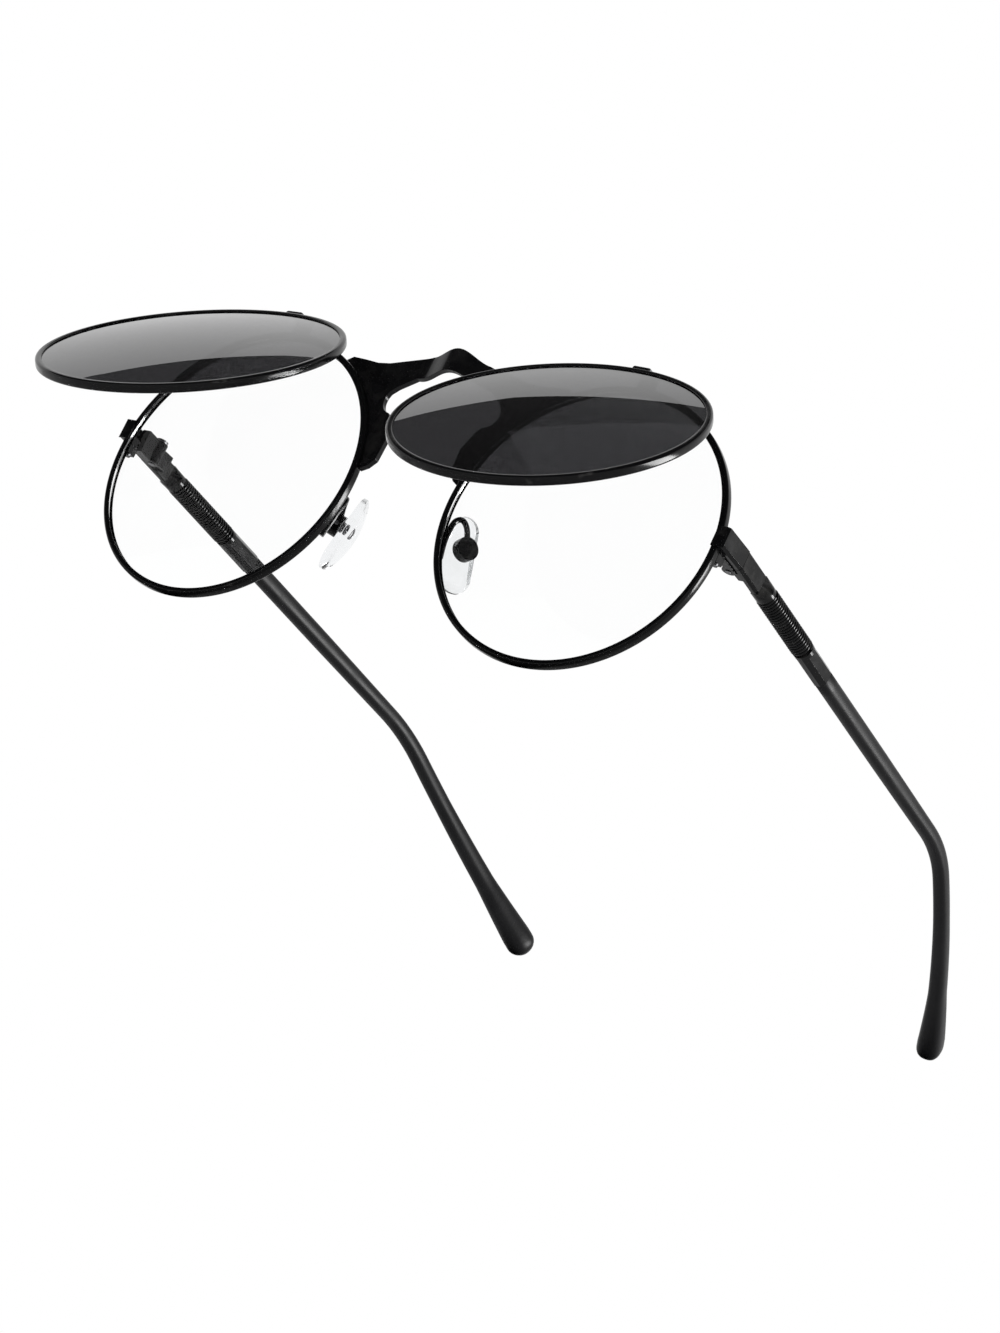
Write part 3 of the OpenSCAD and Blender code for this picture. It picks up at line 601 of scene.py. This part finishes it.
def finish_material(name):
    """One of the six finishes, made the first time that it is asked for."""
    colours = bpy.context.scene.glasses_colours
    makers = {
        "gloss_black_lacquer": lambda: lacquer_material(colours),
        "satin_grey_sleeve": lambda: sleeve_material(colours),
        "blackened_steel": lambda: screw_material(colours),
        "clear_lens_plastic": clear_lens_material,
        "tinted_lens_plastic": lambda: tinted_lens_material(colours),
        "clear_silicone": lambda: pad_material(colours),
    }
    return bpy.data.materials.get(name) or makers[name]()


# Rims, flip rings and lenses


class GLASSES_OT_rims(bpy.types.Operator):
    """Grooved wire rims with the screwed lug that closes each one"""

    bl_idname = "glasses.rims"
    bl_label = "Rims"

    def execute(self, context):
        thick = context.scene.glasses_sizes.rim_wire / MM
        inner_r = RIM_D / 2 - thick / 2
        for name, side in SIDES:
            place = rim_place(side)
            lug = bmesh.new()
            for step in (-LUG_STEP, LUG_STEP):
                made = bmesh.ops.create_cube(lug, size=1.0)
                at = moved(LUG_AT[0], LUG_AT[1], LUG_AT[2] + step) @ Matrix.Diagonal((*LUG_SIZE, 1))
                bmesh.ops.transform(lug, matrix=at, verts=made["verts"])
            lug_piece = object_from(lug, "lug_block", side_place(side))
            disc = bmesh.new()
            bmesh.ops.create_cone(
                disc, cap_ends=True, segments=96, radius1=inner_r + GROOVE, radius2=inner_r + GROOVE,
                depth=CLEAR_T + 2 * GROOVE_PLAY, matrix=turned(90, "X"))
            cut_away(lug_piece, object_from(disc, "lens_space", place))
            bm = spun(ring_profile(inner_r, thick, RIM_DEPTH, CLEAR_T), RING_STEPS)
            piece = object_from(bm, name + "_rim_wire", place)
            join_meshes(piece, lug_piece)
            shade(piece)
            round_edges(piece, RIM_EDGE * MM)
            dress(piece, finish_material("gloss_black_lacquer"), "black_frame", "front", name + "_rim")
        return {"FINISHED"}


class GLASSES_OT_flip_rings(bpy.types.Operator):
    """Wire rings of the flip up frames, notched round their hinge knuckles"""

    bl_idname = "glasses.flip_rings"
    bl_label = "Flip Rings"

    def execute(self, context):
        thick = context.scene.glasses_sizes.flip_wire / MM
        for name, side in SIDES:
            bm = spun(ring_profile(FLIP_D / 2 - thick / 2, thick, FLIP_DEPTH, TINT_T), RING_STEPS)
            piece = object_from(bm, name + "_flip_wire", flip_place(side))
            cutter_mesh = bmesh.new()
            bmesh.ops.create_cone(
                cutter_mesh, cap_ends=True, segments=32, radius1=NOTCH_R, radius2=NOTCH_R, depth=NOTCH_L,
                matrix=moved(0, 0, FLIP_DROP) @ turned(90, "Y"))
            cutter = object_from(cutter_mesh, "notch_cutter", flip_place(side))
            cut_away(piece, cutter)
            shade(piece)
            round_edges(piece, FLIP_EDGE * MM)
            dress(
                piece, finish_material("gloss_black_lacquer"), "black_frame", name + "_flip",
                name + "_flip_ring")
        return {"FINISHED"}


class GLASSES_OT_lenses(bpy.types.Operator):
    """Clear lenses in the rims and tinted lenses in the flip rings"""

    bl_idname = "glasses.lenses"
    bl_label = "Lenses"

    def execute(self, context):
        for name, side in SIDES:
            clear_r = RIM_D / 2 - RIM_WIRE / 2 + GROOVE - LENS_GAP
            clear = object_from(
                spun(lens_profile(clear_r, CLEAR_T), LENS_STEPS), name + "_clear_lens_blank", rim_place(side))
            shade(clear)
            dress(clear, finish_material("clear_lens_plastic"), "clear_lens", "front", name + "_clear_lens")
            tint_r = FLIP_D / 2 - FLIP_WIRE / 2 + GROOVE - LENS_GAP
            tint = object_from(
                spun(lens_profile(tint_r, TINT_T), LENS_STEPS), name + "_tinted_lens_blank", flip_place(side))
            shade(tint)
            dress(
                tint, finish_material("tinted_lens_plastic"), "tinted_lens", name + "_flip",
                name + "_tinted_lens")
        return {"FINISHED"}


# Small plates, knuckles and screws


class GLASSES_OT_front_hardware(bpy.types.Operator):
    """Bridge, end pieces, hinges, flip hinge parts, pad arms and temple bars with their shoulders"""

    bl_idname = "glasses.front_hardware"
    bl_label = "Front Hardware"

    def execute(self, context):
        width = context.scene.glasses_sizes.edge_round
        lacquer = finish_material("gloss_black_lacquer")
        plain = [("bridge", width, "front")]
        for name, _ in SIDES:
            plain += [
                (name + "_end_piece", width, "front"),
                (name + "_front_hinge", width * LEAF_SHARE, "front"),
                (name + "_pad_arm", width * ARM_SHARE, "front"),
                (name + "_flip_bracket", width, "front"),
                (name + "_flip_knuckle", width, name + "_flip"),
                (name + "_temple_hinge", width * LEAF_SHARE, name + "_temple"),
                (name + "_temple_bar", width, name + "_temple"),
            ]
        for node, amount, body in plain:
            piece = dressed_copy(node, node + "_dressed", amount)
            dress(piece, lacquer, "black_frame", body, node)
        for name, side in SIDES:
            shoulder = bmesh.new()
            bmesh.ops.create_grid(
                shoulder, x_segments=1, y_segments=1, size=0.5,
                matrix=moved(0, 0, -SHOULDER_L) @ Matrix.Diagonal((BAR_T, BAR_H, 1.0, 1.0)))
            bmesh.ops.create_circle(
                shoulder, cap_ends=False, radius=COLLAR_R, segments=40, matrix=moved(0, 0, -COLLAR_L))
            hull = bmesh.ops.convex_hull(shoulder, input=shoulder.verts[:])
            bmesh.ops.delete(shoulder, geom=hull["geom_interior"], context="VERTS")
            bmesh.ops.recalc_face_normals(shoulder, faces=shoulder.faces[:])
            piece = object_from(shoulder, name + "_bar_shoulder", along_temple(side, BAR_L))
            shade(piece, 50.0)
            dress(piece, lacquer, "black_frame", name + "_temple")
        return {"FINISHED"}


class GLASSES_OT_screws(bpy.types.Operator):
    """Hinge screws, rim screws, pad screws and flip pins"""

    bl_idname = "glasses.screws"
    bl_label = "Screws and Pins"

    def execute(self, context):
        steel = finish_material("blackened_steel")
        for name, _ in SIDES:
            for kind in ("_rim_screw", "_hinge_screw", "_pad_screw", "_flip_pin"):
                piece = dressed_copy(name + kind, name + kind + "_dressed", SCREW_EDGE * MM)
                dress(piece, steel, "steel_screw", "front", name + kind)
        return {"FINISHED"}


class GLASSES_OT_nose_pads(bpy.types.Operator):
    """Clear nose pads, rounded all over, each with a small metal insert"""

    bl_idname = "glasses.nose_pads"
    bl_label = "Nose Pads"

    def execute(self, context):
        for name, side in SIDES:
            piece = dressed_copy(name + "_nose_pad", name + "_nose_pad_soft", PAD_EDGE * MM, 4)
            dress(piece, finish_material("clear_silicone"), "clear_pad", name + "_pad", name + "_nose_pad")
            ring = object_from(
                spun(INSERT_PROFILE, 40), name + "_pad_insert",
                pad_place(side) @ moved(INSERT_AT, 0, 0) @ turned(90, "Z"))
            shade(ring)
            round_edges(ring, INSERT_EDGE * MM)
            dress(ring, finish_material("blackened_steel"), "steel_screw", name + "_pad")
        return {"FINISHED"}


# Temples


def slope(s):
    return PITCH + EAR_BEND * min(1.0, max(0.0, (s - BEND_AT) / BEND_L))


def turn_in(s):
    if s < BEND_END:
        return HOOK_IN / 2 * max(0.0, (s - BEND_AT) / BEND_L)
    return HOOK_IN / 2 + HOOK_IN / 2 * (s - BEND_END) / (TEMPLE_L - BEND_END)


def heading(s):
    a, b = math.radians(turn_in(s)), math.radians(slope(s))
    return Vector((-math.sin(a) * math.cos(b), math.cos(a) * math.cos(b), -math.sin(b)))


def temple_point(s):
    start = Vector(TEMPLE_START)
    if s <= BEND_AT:
        return start + s * heading(0.0)
    step = (s - BEND_AT) / BEND_STEPS
    return start + BEND_AT * heading(0.0) + sum(
        (step * heading(BEND_AT + (i + 0.5) * step) for i in range(BEND_STEPS)), Vector())


def from_table(s, rows):
    """Value at a station, on straight lines between the rows."""
    for (a, x), (b, y) in zip(rows, rows[1:]):
        if s <= b:
            q = max(0.0, (s - a) / (b - a))
            return x + (y - x) * q
    return rows[-1][1]


def tip_round(s):
    if s < TEMPLE_L - TIP_R:
        return 1.0
    return math.sqrt(max(0.0, 1.0 - ((s - TEMPLE_L + TIP_R) / TIP_R) ** 2))


def sleeve_height(s):
    return tip_round(s) * from_table(s, [
        (SLEEVE_AT, SLEEVE_H), (SLEEVE_AT + 25, SLEEVE_H - 0.1), (BEND_AT, NECK_H),
        (PADDLE_AT, NECK_H + 0.2), (TEMPLE_L - 16, NECK_H + 0.8), (TEMPLE_L - 4, PADDLE_H),
        (TEMPLE_L, PADDLE_H)])


def sleeve_thick(s):
    return tip_round(s) * from_table(s, [
        (SLEEVE_AT, SLEEVE_W), (BEND_AT, SLEEVE_W), (PADDLE_AT, SLEEVE_W + 0.1),
        (TEMPLE_L - 16, SLEEVE_W + 0.5), (TEMPLE_L - 4, PADDLE_W), (TEMPLE_L, PADDLE_W)])


def section_place(s, scale=1.0):
    """Moves a flat unit section to its station on the sleeve."""
    along = heading(s)
    a = math.radians(turn_in(s))
    across = Vector((math.cos(a), math.sin(a), 0.0))
    up = across.cross(along)
    at = temple_point(s)
    turn = Matrix((across, up, along)).transposed().to_4x4()
    size = Matrix.Diagonal((sleeve_thick(s) * scale, sleeve_height(s) * scale, 1.0, 1.0))
    return Matrix.Translation(at) @ turn @ size


class GLASSES_OT_sleeves(bpy.types.Operator):
    """Temple sleeves: an oval section drawn along the ear hook to a flat paddle"""

    bl_idname = "glasses.sleeves"
    bl_label = "Temple Sleeves"

    def execute(self, context):
        stations = [SLEEVE_AT + 0.02 + i * (BEND_AT - 4 - SLEEVE_AT) / 14 for i in range(14)]
        stations += [BEND_AT - 4 + i * (BEND_L + 8) / 20 for i in range(20)]
        stations += [BEND_END + 4 + i * (TEMPLE_L - TIP_R - BEND_END - 4) / 24 for i in range(25)]
        stations += [TEMPLE_L - TIP_R + TIP_R * math.sin(math.radians(a)) for a in TIP_ANGLES]
        for name, side in SIDES:
            bm = bmesh.new()
            bmesh.ops.create_circle(bm, cap_ends=True, radius=0.5, segments=32)
            for v in bm.verts:
                v.co.x = math.copysign(0.5 * abs(v.co.x * 2) ** SLEEVE_SQUARE, v.co.x)
                v.co.y = math.copysign(0.5 * abs(v.co.y * 2) ** SLEEVE_SQUARE, v.co.y)
            face = bm.faces[:][0]
            last = section_place(stations[0], SLEEVE_MOUTH)
            bmesh.ops.transform(bm, matrix=last, verts=bm.verts[:])
            for s in [stations[0] + 0.1] + stations[1:]:
                made = bmesh.ops.extrude_discrete_faces(bm, faces=[face])
                face = made["faces"][0]
                here = section_place(s)
                bmesh.ops.transform(bm, matrix=here @ last.inverted(), verts=face.verts[:])
                last = here
            bmesh.ops.holes_fill(bm, edges=[e for e in bm.edges if e.is_boundary], sides=64)
            bmesh.ops.recalc_face_normals(bm, faces=bm.faces[:])
            piece = object_from(bm, name + "_sleeve_skin", temple_place(side))
            shade(piece, 50.0)
            dress(
                piece, finish_material("satin_grey_sleeve"), "grey_sleeve", name + "_temple",
                name + "_temple_sleeve")
        return {"FINISHED"}


class GLASSES_OT_coils(bpy.types.Operator):
    """Fine wire wound on each temple between its collar and its ferrule"""

    bl_idname = "glasses.coils"
    bl_label = "Temple Coils"

    def execute(self, context):
        sizes = context.scene.glasses_sizes
        wire = sizes.coil_wire / MM
        turns = sizes.coil_turns
        radius = (COIL_D - wire) / 2
        run = COIL_L - wire - 2 * COIL_END_GAP
        steps = turns * COIL_STEPS
        for name, side in SIDES:
            bm = bmesh.new()
            bmesh.ops.create_circle(
                bm, cap_ends=False, radius=wire / 2, segments=8,
                matrix=moved(radius, 0, wire / 2 + COIL_END_GAP) @ turned(90, "X"))
            bmesh.ops.spin(
                bm, geom=bm.verts[:] + bm.edges[:], cent=(0, 0, 0), axis=(0, 0, 1), dvec=(0, 0, run / steps),
                angle=2 * math.pi * turns, steps=steps, use_merge=False, use_duplicate=False)
            bmesh.ops.holes_fill(bm, edges=[e for e in bm.edges if e.is_boundary], sides=16)
            bmesh.ops.recalc_face_normals(bm, faces=bm.faces[:])
            piece = object_from(bm, name + "_coil_wire", along_temple(side, BAR_L))
            shade(piece, 60.0)
            dress(
                piece, finish_material("gloss_black_lacquer"), "black_frame", name + "_temple",
                name + "_coil")
        return {"FINISHED"}


class GLASSES_OT_ferrules(bpy.types.Operator):
    """Collars between coil and sleeve"""

    bl_idname = "glasses.ferrules"
    bl_label = "Ferrules"

    def execute(self, context):
        for name, _ in SIDES:
            piece = dressed_copy(name + "_ferrule", name + "_ferrule_dressed", FERRULE_EDGE * MM, 3)
            dress(
                piece, finish_material("gloss_black_lacquer"), "black_frame", name + "_temple",
                name + "_ferrule")
        return {"FINISHED"}


# Studio


def floor_material(colours):
    """Pale matt floor that is seen only from above."""
    material, nodes, links, shader = new_material("pale_floor")
    shader.inputs["Roughness"].default_value = 0.85
    shader.inputs["Specular IOR Level"].default_value = 0.1
    shader.inputs["Base Color"].default_value = tuple(colours.floor)
    side = nodes.new("ShaderNodeNewGeometry")
    clear = nodes.new("ShaderNodeBsdfTransparent")
    mix = nodes.new("ShaderNodeMixShader")
    out = nodes.get("Material Output")
    links.new(side.outputs["Backfacing"], mix.inputs[0])
    links.new(shader.outputs[0], mix.inputs[1])
    links.new(clear.outputs[0], mix.inputs[2])
    links.new(mix.outputs[0], out.inputs["Surface"])
    return material


def area_lamp(name, at, size, watts, hidden_from):
    """Soft lamp that neither the camera nor one kind of ray sees."""
    data = bpy.data.lights.new(name, "AREA")
    data.shape = "RECTANGLE"
    data.size, data.size_y = size
    data.energy = watts
    lamp = bpy.data.objects.new(name, data)
    bpy.context.scene.collection.objects.link(lamp)
    lamp.location = at
    lamp.rotation_euler = (Vector(LAMP_AIM) - Vector(at)).to_track_quat("-Z", "Y").to_euler()
    lamp.visible_camera = False
    setattr(lamp, hidden_from, False)


def studio_world():
    """White surroundings, full white where the camera, gloss or clear pieces see them and dimmer as light."""
    world = bpy.data.worlds.new("studio_world")
    world.use_nodes = True
    nodes, links = world.node_tree.nodes, world.node_tree.links
    nodes.clear()
    path = nodes.new("ShaderNodeLightPath")
    seen = nodes.new("ShaderNodeMath")
    seen.operation = "MAXIMUM"
    seen_more = nodes.new("ShaderNodeMath")
    seen_more.operation = "MAXIMUM"
    level = nodes.new("ShaderNodeMapRange")
    level.inputs["To Min"].default_value = SKY_LIGHT
    level.inputs["To Max"].default_value = SKY_SEEN
    back = nodes.new("ShaderNodeBackground")
    back.inputs["Color"].default_value = (1.0, 1.0, 1.0, 1.0)
    out = nodes.new("ShaderNodeOutputWorld")
    links.new(path.outputs["Is Camera Ray"], seen.inputs[0])
    links.new(path.outputs["Is Glossy Ray"], seen.inputs[1])
    links.new(seen.outputs[0], seen_more.inputs[0])
    links.new(path.outputs["Is Transmission Ray"], seen_more.inputs[1])
    links.new(seen_more.outputs[0], level.inputs["Value"])
    links.new(level.outputs["Result"], back.inputs["Strength"])
    links.new(back.outputs[0], out.inputs["Surface"])
    return world


def ceiling_card():
    """Dark card overhead that only reflections see; its edge draws the tone line on the tinted lenses."""
    bm = bmesh.new()
    for x, y in CARD_OUTLINE:
        bm.verts.new((x, y, CARD_Z))
    bmesh.ops.contextual_create(bm, geom=bm.verts[:])
    card = object_from(bm, "ceiling_card")
    material, _, _, shader = new_material("dark_ceiling")
    shader.inputs["Base Color"].default_value = (0.03, 0.03, 0.03, 1.0)
    shader.inputs["Roughness"].default_value = 1.0
    card.data.materials.append(material)
    card.visible_camera = False
    card.visible_diffuse = False
    card.visible_transmission = False
    card.visible_shadow = False


def photo_camera():
    """Camera at the photograph's place and angle."""
    turn = Vector(CAMERA_TURN)
    look = Matrix.Rotation(turn.length, 3, turn.normalized())
    place = look.transposed() @ Matrix.Diagonal((1, -1, -1))
    camera = bpy.data.objects.new("photo_camera", bpy.data.cameras.new("photo_camera"))
    bpy.context.scene.collection.objects.link(camera)
    at = [a + b for a, b in zip(CAMERA_AT, CAMERA_ORIGIN)]
    camera.matrix_world = Matrix.Translation(at) @ place.to_4x4()
    camera.data.lens = CAMERA_LENS
    camera.data.sensor_width = CAMERA_SENSOR
    camera.data.clip_start, camera.data.clip_end = CAMERA_NEAR, CAMERA_FAR
    bpy.context.scene.camera = camera


class GLASSES_OT_stage(bpy.types.Operator):
    """Pale floor, soft lamps, white surroundings and the camera"""

    bl_idname = "glasses.stage"
    bl_label = "Studio"

    def execute(self, context):
        scene = context.scene
        bm = bmesh.new()
        bmesh.ops.create_grid(bm, x_segments=1, y_segments=1, size=FLOOR_SIZE)
        floor = object_from(bm, "studio_floor")
        floor.data.materials.append(floor_material(scene.glasses_colours))
        scene.world = studio_world()
        for lamp in LAMPS:
            area_lamp(*lamp)
        scene.view_settings.view_transform = "Standard"
        ceiling_card()
        photo_camera()
        return {"FINISHED"}


class GLASSES_PT_panel(bpy.types.Panel):
    """Lists the settings and the operators that make the pieces"""

    bl_idname = "GLASSES_PT_panel"
    bl_label = "Flip Up Glasses"
    bl_space_type = "VIEW_3D"
    bl_region_type = "UI"
    bl_category = "Glasses"

    def draw(self, context):
        layout = self.layout
        for name in ("rim_wire", "flip_wire", "coil_wire", "coil_turns", "edge_round"):
            layout.prop(context.scene.glasses_sizes, name)
        for name in ("lacquer", "sleeve", "screw", "tint_painted_reflection", "tint_low", "pad", "floor"):
            layout.prop(context.scene.glasses_colours, name)
        for operator in OPERATORS:
            layout.operator(operator.bl_idname)


OPERATORS = (
    GLASSES_OT_stage,
    GLASSES_OT_rims,
    GLASSES_OT_flip_rings,
    GLASSES_OT_lenses,
    GLASSES_OT_front_hardware,
    GLASSES_OT_screws,
    GLASSES_OT_nose_pads,
    GLASSES_OT_sleeves,
    GLASSES_OT_coils,
    GLASSES_OT_ferrules,
)
CLASSES = (GlassesSizes, GlassesColours) + OPERATORS + (GLASSES_PT_panel,)


def register():
    for item in CLASSES:
        bpy.utils.register_class(item)
    bpy.types.Scene.glasses_sizes = bpy.props.PointerProperty(type=GlassesSizes)
    bpy.types.Scene.glasses_colours = bpy.props.PointerProperty(type=GlassesColours)


def unregister():
    del bpy.types.Scene.glasses_colours
    del bpy.types.Scene.glasses_sizes
    for item in reversed(CLASSES):
        bpy.utils.unregister_class(item)


def main():
    register()
    for operator in OPERATORS:
        group, name = operator.bl_idname.split(".")
        getattr(getattr(bpy.ops, group), name)()


if __name__ == "__main__":
    main()
